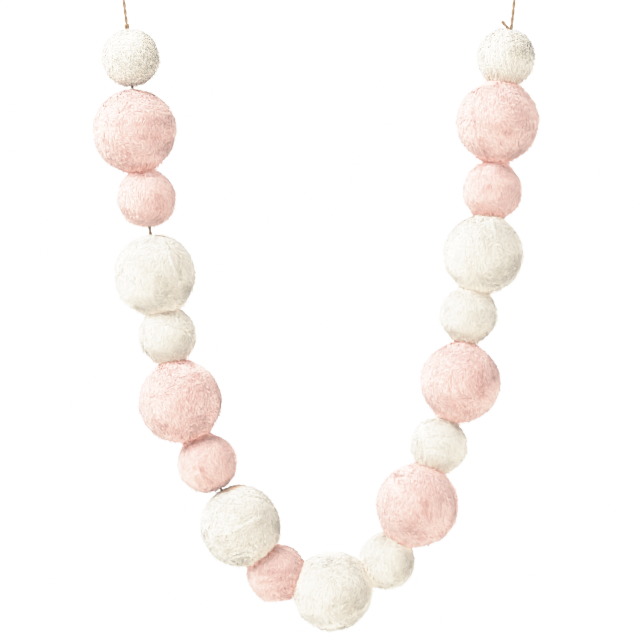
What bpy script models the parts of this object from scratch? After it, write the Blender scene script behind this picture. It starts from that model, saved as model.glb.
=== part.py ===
"""A garland of faux-fur balls threaded on jute twine, hanging in a U from two tied loops.

Metres, +Z up. +X runs from the left loop to the right one and +Y points away from the viewer.
The origin is inside the left hanging loop, under its top, where a nail or hook would bear.
Sizes in the tables are real millimetres, measured from that origin.
"""

import math
import random
from collections import namedtuple

import bmesh
import bpy
from mathutils import Vector, noise

MM = 0.001

# Gap kept between pieces that touch on the real garland.
SEAT_GAP = 0.4 * MM

# The balls from the left end to the right end. across_mm, drop_mm and depth_mm place the centre
# right of, below and behind the origin; wide_mm is the diameter over the pile.
Ball = namedtuple("Ball", "shade across_mm drop_mm depth_mm wide_mm")
BALLS = (
    Ball("white", 13.3, 107.7, 0.0, 57.7),
    Ball("pink", 17.2, 180.8, -1.0, 83.4),
    Ball("pink", 28.9, 248.0, 1.0, 58.3),
    Ball("white", 37.4, 324.7, -0.5, 81.0),
    Ball("white", 49.7, 385.7, 1.5, 57.0),
    Ball("pink", 62.5, 451.1, -1.0, 82.2),
    Ball("pink", 89.5, 513.0, 1.0, 59.2),
    Ball("white", 122.7, 575.2, -2.0, 80.6),
    Ball("pink", 158.8, 623.0, 4.0, 58.8),
    Ball("white", 215.4, 640.6, -2.0, 78.6),
    Ball("white", 269.4, 611.3, 4.0, 56.4),
    Ball("pink", 299.8, 555.0, -2.0, 82.6),
    Ball("white", 321.1, 495.2, 1.0, 56.2),
    Ball("pink", 342.8, 431.8, -1.0, 79.2),
    Ball("white", 351.3, 364.9, 1.5, 57.2),
    Ball("white", 365.6, 303.8, -1.0, 78.6),
    Ball("pink", 374.8, 240.1, 1.0, 58.6),
    Ball("pink", 379.9, 171.6, -1.0, 81.8),
    Ball("white", 388.3, 107.2, 0.0, 58.2),
)
LARGE_FROM_MM = 70.0

# Mesh cells along a quarter turn of a ball, and tufts of pile that stand out of it.
BallStyle = namedtuple("BallStyle", "cells tufts")
LARGE = BallStyle(6, 17)
SMALL = BallStyle(5, 14)

# Unevenness of the pile: two sizes of lump, waves per radius and height.
BROAD_LUMP = (1.6, 1.5 * MM)
SMALL_LUMP = (3.6, 0.8 * MM)
# Step through the noise from ball to ball, so that no two are lumpy alike.
LUMP_SHIFT = Vector((7.3, 2.1, 3.7))

# A tuft is a four-sided lock: its root is inset in a mesh cell by a share of the cell's width,
# and its tip stands out of the ball and leans along the pile.
TUFT_INSET_SHARE = 0.14
TUFT_HEIGHT = (1.3 * MM, 2.6 * MM)
TUFT_LEAN = (3.0 * MM, 6.5 * MM)
TUFT_CLEAR_OF_SEAT = 4.5 * MM
TUFT_FRONT_LIMIT = 0.62

# Jute twine of two plies, and the needle hole through each ball, wider at its mouths.
TWINE_RADIUS = 1.3 * MM
PLY_RADIUS = 0.85 * MM
PLY_SECTION_POINTS = 10
TWIST_PITCH = 11.0 * MM
TWIST_STEP = 1.4 * MM
HOLE_RADIUS = 1.85 * MM
MOUTH_RADIUS = 3.4 * MM
MOUTH_DEPTH = 6.0 * MM
HOLE_OVERSHOOT = 3.0 * MM
HOLE_SIDES = 10
BEND_REACH = 4.0 * MM

# The twine above each end ball leans outwards. A row gives where the twine leaves the ball and
# where the hanging loop's knot is.
TwineEnd = namedtuple("TwineEnd", "name exit_across_mm exit_drop_mm knot_across_mm knot_drop_mm")
LEFT_END = TwineEnd("left", 9.8, 79.6, 4.4, 36.0)
RIGHT_END = TwineEnd("right", 393.7, 79.4, 398.4, 36.0)

# Knots: half width and half height, with ridges where the twine wraps round itself.
Knot = namedtuple("Knot", "half_wide half_tall")
STOP_KNOT = Knot(3.3 * MM, 2.9 * MM)
LOOP_KNOT = Knot(3.8 * MM, 3.6 * MM)
WRAP_RIDGE = 0.45 * MM
KNOT_SEGMENTS = 12
KNOT_RINGS = 8

# Hanging loop above the knot, as an upright drop shape.
LOOP_HEIGHT = 33.5 * MM
LOOP_WIDTH = 15.0 * MM
LOOP_FOOT = 1.7 * MM
LOOP_POINTS = 15

# Cut tail that comes out of the last ball beside the twine, in a small hole of its own.
TAIL_ROOT_MM = (392.4, 81.0, -2.9)
TAIL_TIP_MM = (384.4, 71.6, -2.0)
TAIL_RADIUS = 1.2 * MM
TAIL_CLEARANCE = 0.35 * MM

FUR_COLOURS = {"white": (0.88, 0.84, 0.76), "pink": (0.92, 0.66, 0.59)}
FUR_ROUGHNESS = 0.95
TWINE_COLOUR = (0.47, 0.31, 0.19)
TWINE_ROUGHNESS = 0.9


def clear_scene():
    for old in list(bpy.data.objects):
        bpy.data.objects.remove(old, do_unlink=True)


def new_collection(name):
    collection = bpy.data.collections.new(name)
    bpy.context.scene.collection.children.link(collection)
    return collection


def new_material(name, colour, roughness):
    material = bpy.data.materials.new(name)
    material.use_nodes = True
    shader = material.node_tree.nodes["Principled BSDF"]
    shader.inputs["Base Color"].default_value = (*colour, 1.0)
    shader.inputs["Roughness"].default_value = roughness
    shader.inputs["Metallic"].default_value = 0.0
    return material


def place(across_mm, drop_mm, depth_mm=0.0):
    """World point from distances right of, below and behind the origin."""
    return Vector((across_mm * MM, depth_mm * MM, -drop_mm * MM))


Seat = namedtuple("Seat", "point normal")


def seat_between(upper, lower):
    """The seat where two neighbouring balls press on each other; its normal points down the string."""
    start = place(upper.across_mm, upper.drop_mm, upper.depth_mm)
    end = place(lower.across_mm, lower.drop_mm, lower.depth_mm)
    start_radius = upper.wide_mm * MM / 2
    end_radius = lower.wide_mm * MM / 2
    span = (end - start).length
    if span < start_radius + end_radius:
        reach = (span ** 2 + start_radius ** 2 - end_radius ** 2) / (2 * span)
    else:
        reach = start_radius + (span - start_radius - end_radius) / 2
    normal = (end - start) / span
    return Seat(start + normal * reach, normal)


def twine_exit(end):
    return place(end.exit_across_mm, end.exit_drop_mm)


def hole_mouths():
    """Where the twine enters and leaves the balls, in order along the string."""
    between = [seat_between(upper, lower).point for upper, lower in zip(BALLS, BALLS[1:])]
    return [twine_exit(LEFT_END), *between, twine_exit(RIGHT_END)]


def flats_of(index):
    """The seats of one ball, each with its normal pointing out of the ball."""
    flats = []
    if index > 0:
        above = seat_between(BALLS[index - 1], BALLS[index])
        flats.append(Seat(above.point, -above.normal))
    if index < len(BALLS) - 1:
        flats.append(seat_between(BALLS[index], BALLS[index + 1]))
    return flats


def pile_height(direction, offset):
    """How far the pile stands over or under the ball's mean radius in one direction."""
    height = 0.0
    for waves, size in (BROAD_LUMP, SMALL_LUMP):
        height += size * noise.noise(direction * waves + offset)
    return height


def ball_mesh(radius, style, offset, centre, flats):
    """A lumpy ball on an even grid of cells, pressed flat on its neighbours' seats."""
    bm = bmesh.new()
    bmesh.ops.create_cube(bm, size=2.0)
    bmesh.ops.subdivide_edges(bm, edges=bm.edges[:], cuts=style.cells - 1, use_grid_fill=True)
    for vert in bm.verts:
        spread = Vector([math.tan(part * math.pi / 4) for part in vert.co])
        direction = spread.normalized()
        vert.co = direction * (radius + pile_height(direction, offset))
        for flat in flats:
            past = (vert.co + centre - flat.point).dot(flat.normal) + SEAT_GAP / 2
            if past > 0:
                vert.co -= flat.normal * past
    bmesh.ops.recalc_face_normals(bm, faces=bm.faces[:])
    return bm


def can_carry_tuft(face, centre, flats):
    """True where a cell faces sideways of the view and lies clear of both seats."""
    middle = face.calc_center_median()
    if abs(middle.normalized().y) > TUFT_FRONT_LIMIT:
        return False
    margin = TUFT_CLEAR_OF_SEAT + TUFT_LEAN[1]
    return all((middle + centre - flat.point).dot(flat.normal) < -margin for flat in flats)


def add_tufts(bm, count, chance, centre, flats):
    """Raise locks of pile out of single cells, apart from each other, leaning down the nap."""
    free = [face for face in bm.faces if can_carry_tuft(face, centre, flats)]
    chance.shuffle(free)
    chosen = []
    taken = set()
    for face in free:
        if len(chosen) < count and not any(vert in taken for vert in face.verts):
            chosen.append(face)
            taken.update(face.verts)
    for face in chosen:
        outward = face.calc_center_median().normalized()
        side = outward.cross(Vector((0.0, 1.0, 0.0))).normalized()
        nap = (side * chance.choice((-1.0, 1.0)) + Vector((0.0, 0.0, -0.6))).normalized()
        size = math.sqrt(face.calc_area())
        bmesh.ops.inset_individual(bm, faces=[face], thickness=size * TUFT_INSET_SHARE, depth=0.0)
        raised = bmesh.ops.extrude_discrete_faces(bm, faces=[face])["faces"][0]
        tip = raised.calc_center_median()
        tip += outward * chance.uniform(*TUFT_HEIGHT)
        tip += nap * chance.uniform(*TUFT_LEAN)
        bmesh.ops.pointmerge(bm, verts=raised.verts[:], merge_co=tip)


def needle_hole_profile(length):
    """Radius and height along a needle hole, which flares at both mouths."""
    half = length / 2
    flare = MOUTH_RADIUS - HOLE_RADIUS
    outer = MOUTH_RADIUS + flare * HOLE_OVERSHOOT / MOUTH_DEPTH
    return (
        (0.0, half + HOLE_OVERSHOOT),
        (outer, half + HOLE_OVERSHOOT),
        (HOLE_RADIUS, half - MOUTH_DEPTH),
        (HOLE_RADIUS, MOUTH_DEPTH - half),
        (outer, -half - HOLE_OVERSHOOT),
        (0.0, -half - HOLE_OVERSHOOT),
    )


def tail_hole_profile(length):
    """Radius and height along the cut tail's hole: straight, and a little deeper than the tail."""
    half = length / 2 + SEAT_GAP
    reach = TAIL_RADIUS + TAIL_CLEARANCE
    return ((0.0, half), (reach, half), (reach, -half), (0.0, -half))


def turned_cutter(name, start, end, profile, cutters):
    """Cutter for a round hole from start to end, turned from its profile, top first."""
    mesh = bpy.data.meshes.new(name)
    edges = [(index, index + 1) for index in range(len(profile) - 1)]
    mesh.from_pydata([(reach, 0.0, height) for reach, height in profile], edges, [])
    cutter = bpy.data.objects.new(name, mesh)
    cutters.objects.link(cutter)
    screw = cutter.modifiers.new("turn", "SCREW")
    screw.steps = HOLE_SIDES
    screw.render_steps = HOLE_SIDES
    screw.use_merge_vertices = True
    screw.merge_threshold = 0.00001
    cutter.location = (start + end) / 2
    cutter.rotation_euler = (start - end).to_track_quat("Z", "Y").to_euler()
    cutter.hide_render = True
    cutter.display_type = "WIRE"
    return cutter


def cut_hole(piece, cutter):
    cut = piece.modifiers.new(cutter.name, "BOOLEAN")
    cut.operation = "DIFFERENCE"
    cut.solver = "EXACT"
    cut.object = cutter


def add_ball(index, parts, furs):
    """One ball with its tufts, before its needle hole is cut."""
    ball = BALLS[index]
    style = LARGE if ball.wide_mm > LARGE_FROM_MM else SMALL
    centre = place(ball.across_mm, ball.drop_mm, ball.depth_mm)
    flats = flats_of(index)
    bm = ball_mesh(ball.wide_mm * MM / 2, style, LUMP_SHIFT * index, centre, flats)
    add_tufts(bm, style.tufts, random.Random(index + 1), centre, flats)
    name = f"ball_{index + 1:02d}_{ball.shade}"
    mesh = bpy.data.meshes.new(name)
    bm.to_mesh(mesh)
    bm.free()
    mesh.materials.append(furs[ball.shade])
    mesh.shade_smooth()
    piece = bpy.data.objects.new(name, mesh)
    piece.location = centre
    parts.objects.link(piece)
    return piece


def add_balls(parts, cutters, furs):
    mouths = hole_mouths()
    for index in range(len(BALLS)):
        piece = add_ball(index, parts, furs)
        above = mouths[index]
        below = mouths[index + 1]
        profile = needle_hole_profile((above - below).length)
        cut_hole(piece, turned_cutter(f"hole_{index + 1:02d}", above, below, profile, cutters))
    tip = place(*TAIL_TIP_MM)
    root = place(*TAIL_ROOT_MM)
    profile = tail_hole_profile((tip - root).length)
    cut_hole(piece, turned_cutter("hole_tail", tip, root, profile, cutters))


def add_curve(name, collection, points, material):
    """A filled tube's curve through the points; the caller sets its thickness."""
    data = bpy.data.curves.new(name, "CURVE")
    data.dimensions = "3D"
    data.use_fill_caps = True
    spline = data.splines.new("POLY")
    spline.points.add(len(points) - 1)
    for slot, point in zip(spline.points, points):
        slot.co = (*point, 1.0)
    data.materials.append(material)
    tube = bpy.data.objects.new(name, data)
    collection.objects.link(tube)
    return tube


def plain_tube(name, collection, points, radius, material):
    tube = add_curve(name, collection, points, material)
    tube.data.bevel_depth = radius
    tube.data.bevel_resolution = 2
    return tube


def ply_profile(cutters):
    """Cross-section of two plies side by side, used along the twisted ends."""
    data = bpy.data.curves.new("two_plies", "CURVE")
    data.dimensions = "2D"
    spline = data.splines.new("POLY")
    spline.points.add(PLY_SECTION_POINTS - 1)
    for index, slot in enumerate(spline.points):
        angle = math.tau * index / PLY_SECTION_POINTS
        reach = PLY_RADIUS * (1.25 + 0.5 * math.cos(2 * angle))
        slot.co = (reach * math.cos(angle), -reach * math.sin(angle), 0.0, 1.0)
    spline.use_cyclic_u = True
    profile = bpy.data.objects.new("two_plies", data)
    profile.hide_render = True
    profile.display_type = "WIRE"
    cutters.objects.link(profile)
    return profile


def twisted_twine(name, collection, start, end, profile, material):
    """A straight stretch of the twine with its two plies wound round each other."""
    steps = round((end - start).length / TWIST_STEP)
    points = [start.lerp(end, step / steps) for step in range(steps + 1)]
    tube = add_curve(name, collection, points, material)
    tube.data.bevel_mode = "OBJECT"
    tube.data.bevel_object = profile
    for slot, point in zip(tube.data.splines[0].points, points):
        slot.tilt = math.tau * (point - start).length / TWIST_PITCH
    return tube


def add_knot(name, collection, centre, knot, lean, material):
    """A pulled-tight knot: a small ball with the twine's wraps as slanting ridges."""
    bm = bmesh.new()
    bmesh.ops.create_uvsphere(bm, u_segments=KNOT_SEGMENTS, v_segments=KNOT_RINGS, radius=1.0)
    for vert in bm.verts:
        turn = math.atan2(vert.co.y, vert.co.x)
        across = math.hypot(vert.co.x, vert.co.y)
        ridge = WRAP_RIDGE * across * math.cos(2 * turn + 4 * vert.co.z)
        vert.co = Vector((
            vert.co.x * (knot.half_wide + ridge),
            vert.co.y * (knot.half_wide + ridge),
            vert.co.z * knot.half_tall,
        ))
    mesh = bpy.data.meshes.new(name)
    bm.to_mesh(mesh)
    bm.free()
    mesh.materials.append(material)
    mesh.shade_smooth()
    piece = bpy.data.objects.new(name, mesh)
    piece.location = centre
    piece.rotation_euler = lean.to_track_quat("Z", "Y").to_euler()
    collection.objects.link(piece)


def loop_points(foot, lean):
    """Centre line of a hanging loop, up one side of a drop shape and down the other."""
    turn = lean.to_track_quat("Z", "Y").to_matrix()
    points = []
    for index in range(LOOP_POINTS + 1):
        angle = math.tau * index / LOOP_POINTS
        across = LOOP_FOOT * math.cos(angle / 2) + LOOP_WIDTH / 2 * math.sin(angle) * math.sin(angle / 2)
        height = LOOP_HEIGHT * (1 - math.cos(angle)) / 2
        points.append(foot + Vector((across, 0.0, 0.0)) + turn @ Vector((0.0, 0.0, height)))
    return points


def add_twine_end(end, stop_knot, parts, profile, material):
    """The twine above an end ball: its stretch up to the loop's knot, the knot and the loop."""
    start = twine_exit(end)
    knot_at = place(end.knot_across_mm, end.knot_drop_mm)
    lean = (knot_at - start).normalized()
    if stop_knot:
        knot_centre = start + lean * (STOP_KNOT.half_tall + SEAT_GAP)
        add_knot(f"twine_{end.name}_stop_knot", parts, knot_centre, STOP_KNOT, lean, material)
        start = knot_centre + lean * STOP_KNOT.half_tall
    start += lean * SEAT_GAP
    stop = knot_at - lean * (LOOP_KNOT.half_tall + SEAT_GAP)
    twisted_twine(f"twine_{end.name}_end", parts, start, stop, profile, material)
    add_knot(f"twine_{end.name}_loop_knot", parts, knot_at, LOOP_KNOT, lean, material)
    foot = knot_at + lean * (LOOP_KNOT.half_tall + SEAT_GAP)
    plain_tube(f"twine_{end.name}_loop", parts, loop_points(foot, lean), TWINE_RADIUS, material)


def through_route():
    """The twine's way through the balls: straight in each needle hole, bending at the seats."""
    mouths = hole_mouths()
    route = [mouths[0]]
    for before, here, after in zip(mouths, mouths[1:], mouths[2:]):
        back = (before - here).normalized()
        ahead = (after - here).normalized()
        middle = here + (back + ahead) * BEND_REACH / 4
        route += [here + back * BEND_REACH, middle, here + ahead * BEND_REACH]
    route.append(mouths[-1])
    return route


def add_twine(parts, cutters, material):
    plain_tube("twine_through_balls", parts, through_route(), TWINE_RADIUS, material)
    profile = ply_profile(cutters)
    add_twine_end(LEFT_END, True, parts, profile, material)
    add_twine_end(RIGHT_END, False, parts, profile, material)
    root = place(*TAIL_ROOT_MM)
    tip = place(*TAIL_TIP_MM)
    plain_tube("twine_tail", parts, [root, root.lerp(tip, 0.5), tip], TAIL_RADIUS, material)


def main():
    clear_scene()
    parts = new_collection("fur_garland")
    cutters = new_collection("cutters")
    furs = {}
    for shade, colour in FUR_COLOURS.items():
        furs[shade] = new_material(f"{shade}_faux_fur", colour, FUR_ROUGHNESS)
    add_balls(parts, cutters, furs)
    add_twine(parts, cutters, new_material("jute_twine", TWINE_COLOUR, TWINE_ROUGHNESS))


main()
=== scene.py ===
"""Fur garland: nineteen faux-fur balls on jute twine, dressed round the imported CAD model."""

import math
from collections import namedtuple

import bmesh
import bpy
import numpy as np
from mathutils import Matrix, Vector
from mathutils.bvhtree import BVHTree
from mathutils.kdtree import KDTree


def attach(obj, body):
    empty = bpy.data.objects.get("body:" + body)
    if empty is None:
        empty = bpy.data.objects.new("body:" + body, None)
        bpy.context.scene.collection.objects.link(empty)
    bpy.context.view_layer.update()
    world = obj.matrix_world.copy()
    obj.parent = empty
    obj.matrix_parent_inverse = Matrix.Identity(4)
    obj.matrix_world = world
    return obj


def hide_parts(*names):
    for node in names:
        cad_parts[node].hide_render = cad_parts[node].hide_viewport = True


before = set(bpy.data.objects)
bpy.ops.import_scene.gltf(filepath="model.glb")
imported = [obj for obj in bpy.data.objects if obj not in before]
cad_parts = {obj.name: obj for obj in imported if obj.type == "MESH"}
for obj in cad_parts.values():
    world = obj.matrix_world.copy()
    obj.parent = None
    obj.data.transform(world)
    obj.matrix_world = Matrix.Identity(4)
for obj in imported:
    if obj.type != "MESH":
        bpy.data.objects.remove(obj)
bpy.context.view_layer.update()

bl_info = {
    "name": "Fur Garland",
    "version": (1, 0, 0),
    "blender": (4, 5, 0),
    "location": "View3D > Sidebar > Garland",
    "description": "Dresses a garland's solids in short faux fur and two-ply jute twine",
    "category": "Object",
}

MM = 0.001

# Middle of the garland in the photograph's frame, on the plane in which it hangs.
VIEW_CENTRE = Vector((0.2025, 0.0, -0.370))
VIEW_WIDTH = 0.640

# Light of the bare paper, which prints as pure white, and the tones of what is less lit.
PAPER_LIGHT = 1.6
SHOULDER = ((0.55, 0.55), (0.8, 0.775), (1.0, 0.89), (1.25, 0.955))

# The balls from the left end to the right end, as in the part's source: the shade of the fur,
# the centre right of, below and behind the origin, and the diameter over the pile.
Ball = namedtuple("Ball", "node shade across_mm drop_mm depth_mm wide_mm")
BALLS = (
    Ball("ball_01_white", "white", 13.3, 107.7, 0.0, 57.7),
    Ball("ball_02_pink", "pink", 17.2, 180.8, -1.0, 83.4),
    Ball("ball_03_pink", "pink", 28.9, 248.0, 1.0, 58.3),
    Ball("ball_04_white", "white", 37.4, 324.7, -0.5, 81.0),
    Ball("ball_05_white", "white", 49.7, 385.7, 1.5, 57.0),
    Ball("ball_06_pink", "pink", 62.5, 451.1, -1.0, 82.2),
    Ball("ball_07_pink", "pink", 89.5, 513.0, 1.0, 59.2),
    Ball("ball_08_white", "white", 122.7, 575.2, -2.0, 80.6),
    Ball("ball_09_pink", "pink", 158.8, 623.0, 4.0, 58.8),
    Ball("ball_10_white", "white", 215.4, 640.6, -2.0, 78.6),
    Ball("ball_11_white", "white", 269.4, 611.3, 4.0, 56.4),
    Ball("ball_12_pink", "pink", 299.8, 555.0, -2.0, 82.6),
    Ball("ball_13_white", "white", 321.1, 495.2, 1.0, 56.2),
    Ball("ball_14_pink", "pink", 342.8, 431.8, -1.0, 79.2),
    Ball("ball_15_white", "white", 351.3, 364.9, 1.5, 57.2),
    Ball("ball_16_white", "white", 365.6, 303.8, -1.0, 78.6),
    Ball("ball_17_pink", "pink", 374.8, 240.1, 1.0, 58.6),
    Ball("ball_18_pink", "pink", 379.9, 171.6, -1.0, 81.8),
    Ball("ball_19_white", "white", 388.3, 107.2, 0.0, 58.2),
)

# Where the brushed pile meets or parts on the front of a ball. A line runs from one point to another, in millimetres
# right of and above the ball's middle. A positive strength makes a ridge that the pile leans towards and that takes
# less painted shade, a negative one a dip or a parting painted darker with painted shade. A long reach makes a soft
# patch, a short one a crease.
PileLine = namedtuple("PileLine", "ball from_x from_z to_x to_z reach_mm strength")
PILE_LINES = (
    PileLine(1, 15.0, 20.0, 22.0, 13.0, 3.0, -0.9),
    PileLine(1, -21.5, -13.0, -19.5, -16.0, 2.0, -1.4),
    PileLine(1, 8.0, 4.0, 20.0, -12.0, 6.0, 0.6),
    PileLine(2, -22.0, 18.0, 4.0, 20.0, 14.0, 0.5),
    PileLine(2, -3.0, -14.5, 16.5, -21.6, 5.0, 1.0),
    PileLine(2, 6.5, -10.5, 27.0, -7.5, 3.0, -0.8),
    PileLine(2, -26.0, -14.0, -6.0, -26.0, 8.0, -0.7),
    PileLine(2, 12.0, -26.0, 34.0, -15.0, 6.0, -0.5),
    PileLine(2, -8.0, -36.0, 12.0, -36.0, 5.0, -0.8),
    PileLine(2, -14.6, 3.8, -13.6, 1.8, 1.6, -1.6),
    PileLine(2, -22.0, -29.0, -18.0, -32.0, 1.8, -1.6),
    PileLine(3, 12.0, 14.0, 16.0, -12.0, 5.0, -0.6),
    PileLine(3, -14.0, -20.0, 4.0, -24.0, 4.5, 0.8),
    PileLine(3, -2.0, 24.0, 3.0, 10.0, 2.0, -0.7),
    PileLine(4, 13.0, 31.0, 26.0, 20.0, 2.6, -1.3),
    PileLine(4, 26.0, 20.0, 27.0, -4.0, 2.6, -1.3),
    PileLine(4, 16.0, 22.0, 22.0, 4.0, 4.0, 1.0),
    PileLine(4, 8.0, -4.0, 24.0, -20.0, 6.0, -0.5),
    PileLine(4, -32.0, -20.0, -12.0, -31.0, 4.5, 0.9),
    PileLine(5, 14.0, 18.0, 25.0, 4.0, 4.5, 0.9),
    PileLine(5, -12.0, -16.0, 8.0, -22.0, 4.5, -0.5),
    PileLine(6, -20.0, 18.0, 4.0, 22.0, 14.0, 0.5),
    PileLine(6, -4.0, -4.0, 22.0, 12.0, 6.0, -0.5),
    PileLine(6, 0.0, -18.0, 24.0, -9.0, 4.5, 0.8),
    PileLine(6, -24.0, -20.0, 4.0, -33.0, 7.0, -0.8),
    PileLine(7, -4.0, -4.0, 3.0, -18.0, 3.0, -1.1),
    PileLine(7, 4.0, 3.0, 13.0, -12.0, 4.0, 0.9),
    PileLine(7, -14.0, 22.0, 2.0, 25.0, 4.0, -0.9),
    PileLine(8, -14.0, -6.0, 20.8, 11.0, 4.0, 1.6),
    PileLine(8, -12.0, -12.5, 21.0, 3.5, 3.0, -1.0),
    PileLine(8, -17.0, -34.0, 25.0, -17.0, 4.0, 1.5),
    PileLine(8, -12.0, -25.0, 22.0, -11.0, 4.0, -0.7),
    PileLine(9, -21.0, 9.0, -3.0, 25.0, 3.0, -1.5),
    PileLine(9, -16.0, 2.0, 16.0, 5.0, 2.6, -0.7),
    PileLine(9, -18.0, -7.0, 14.0, -3.0, 2.6, -0.7),
    PileLine(9, -14.0, -16.0, 13.0, -12.0, 2.6, -0.7),
    PileLine(10, -3.2, -10.4, -3.2, -31.0, 2.4, -1.3),
    PileLine(10, -7.0, -14.0, -8.0, -30.0, 3.0, 0.8),
    PileLine(10, 8.0, -26.0, 20.0, -24.0, 3.6, 1.4),
    PileLine(10, 10.0, -19.0, 24.0, -14.0, 5.0, -0.6),
    PileLine(11, -18.0, -13.0, -8.0, -20.0, 3.6, 0.9),
    PileLine(11, 6.0, 2.0, 14.0, -12.0, 6.0, -0.4),
    PileLine(12, -20.0, 20.0, 2.0, 26.0, 12.0, 0.5),
    PileLine(12, 6.0, 6.0, 9.0, -12.0, 3.6, -0.9),
    PileLine(12, -22.0, -8.0, -2.0, -24.0, 6.0, -0.5),
    PileLine(12, 2.0, -30.0, 27.0, -26.0, 4.0, -0.9),
    PileLine(12, 14.0, 10.0, 22.0, -10.0, 5.0, 0.7),
    PileLine(13, -14.0, 12.0, 8.0, 11.0, 3.0, 1.0),
    PileLine(13, -14.0, 1.0, 8.0, -1.0, 3.0, 1.2),
    PileLine(13, -14.0, -7.0, 8.0, -9.0, 3.0, 1.0),
    PileLine(13, -16.4, 4.0, -16.4, -13.0, 2.4, -1.4),
    PileLine(14, -18.0, 18.0, 4.0, 22.0, 12.0, 0.5),
    PileLine(14, 19.0, 10.0, 19.0, -10.0, 4.5, -0.9),
    PileLine(14, -10.0, -20.0, 12.0, -32.0, 7.0, -0.7),
    PileLine(14, -6.0, -8.0, 10.0, -14.0, 5.0, 0.6),
    PileLine(15, -14.0, 4.0, 14.0, 6.0, 3.6, 1.0),
    PileLine(15, -16.0, -7.0, 12.0, -8.0, 3.6, 1.0),
    PileLine(15, -17.0, -17.0, 2.0, -20.0, 2.4, -1.3),
    PileLine(16, -1.0, 24.0, 0.0, 4.0, 2.6, -1.3),
    PileLine(16, 7.0, 32.0, 17.0, -2.0, 4.0, 1.1),
    PileLine(16, -14.0, -16.0, 4.0, -27.0, 5.0, -0.9),
    PileLine(16, 10.0, -12.0, 22.0, -6.0, 4.0, 0.8),
    PileLine(17, -14.0, 12.0, 14.0, 13.0, 2.6, -0.6),
    PileLine(17, -6.0, 3.0, 16.0, 2.0, 2.6, -0.7),
    PileLine(17, -12.0, -10.0, 4.0, -12.0, 5.0, 0.6),
    PileLine(18, -4.0, 20.0, 14.0, 12.0, 12.0, 0.5),
    PileLine(18, -26.5, 18.0, -25.0, -8.0, 2.6, -0.9),
    PileLine(18, -20.0, -19.0, -13.5, -34.0, 2.6, -1.6),
    PileLine(18, 2.0, -13.0, 14.0, -14.5, 2.6, -0.9),
    PileLine(18, -8.0, -22.0, 10.0, -28.0, 5.0, 0.8),
    PileLine(19, 5.0, 23.0, 9.0, 1.0, 3.0, -0.7),
    PileLine(19, 11.0, 17.0, 17.0, -7.0, 6.0, 0.25),
    PileLine(19, 0.0, -14.0, 14.0, -18.0, 5.0, 0.6),
)

# How the pile lies: the way it is brushed, in how many strands it sticks together, where along
# itself a strand passes over its place, how strongly a ridge above draws and lifts it, and how it swells to fill the wedge round a seat, where its tips mingle with the neighbour's.
# Round a tuft the pile is drawn into it, and stands up shaggily a little further off.
BRUSHED_DOWN = np.array([0.15, 0.0, -0.8])
STRANDS_IN_LOCK = 12
MIDDLE_SHARE = 0.42
LEAN_TO_RIDGE = 1.0
LINE_HEIGHT = 0.8 * MM
# The lower right of each ball, turned from the key light, stands more ruffled and takes painted shade: where it
# starts and how strongly.
RUFFLE_AND_SHADE_START = 0.25
RUFFLE_AND_SHADE_UNDER = 0.9
SEAT_FILL = 2.6 * MM
SEAT_REACH = 3.6 * MM
SEAT_MINGLE = 2.0 * MM
# Shading looks this far round a ball, in radians, so that the dents between tufts do not turn grey.
SHADE_STEP = 0.17
# Round a seat, as far as the collar reaches, the shading normals turn away from the neighbour, the backing's warm
# colour is painted in a little as painted shade, and the pile glows faintly with painted light.
COLLAR_REACH = 6.0 * MM
COLLAR_TURN = 0.9
SEAT_PAINTED_SHADE = 0.1
SEAT_PAINTED_GLOW = 0.24
TUFT_REACH = 3.4 * MM
SHAG_REACH = 6.0 * MM
SHAG_HEIGHT = 2.0 * MM

# Where a cover's closing seam shows its knitted backing, from and to points as above.
SeamLine = namedtuple("SeamLine", "ball from_x from_z to_x to_z wide_mm")
SEAM_LINES = (
    SeamLine(2, -4.0, 40.4, 21.5, 34.6, 1.6),
    SeamLine(4, -1.0, 38.6, 13.5, 36.2, 0.9),
    SeamLine(10, 27.0, 27.2, 37.0, 11.0, 1.6),
)

# Where the pile takes the backing's colour: all of the front above a line, with points as above.
BackingColourPatch = namedtuple("BackingColourPatch", "ball from_x from_z to_x to_z behind_mm")
BACKING_COLOUR_PATCHES = (BackingColourPatch(8, -26.0, 31.0, 5.0, 39.6, 5.0),)


def linear(hex_colour):
    """Linear RGB of an sRGB hex colour."""
    channels = [int(hex_colour[i : i + 2], 16) / 255 for i in (0, 2, 4)]
    return tuple(c / 12.92 if c <= 0.04045 else ((c + 0.055) / 1.055) ** 2.4 for c in channels)


def add_node(tree, kind, settings=None, inputs=None):
    """Adds a node, sets its properties, and sets or links its inputs."""
    node = tree.nodes.new(kind)
    for name, value in (settings or {}).items():
        setattr(node, name, value)
    for socket, value in (inputs or {}).items():
        if isinstance(value, bpy.types.NodeSocket):
            tree.links.new(value, node.inputs[socket])
        else:
            node.inputs[socket].default_value = value
    return node


def new_material(name):
    material = bpy.data.materials.new(name)
    material.use_nodes = True
    material.node_tree.nodes.clear()
    return material, material.node_tree


def length_setting(name, description, default):
    return bpy.props.FloatProperty(
        name=name, description=description, default=default, min=0.0, precision=5, unit="LENGTH"
    )


def colour_setting(name, description, hex_colour):
    return bpy.props.FloatVectorProperty(
        name=name, description=description, default=linear(hex_colour), min=0.0, max=1.0, subtype="COLOR"
    )


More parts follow.
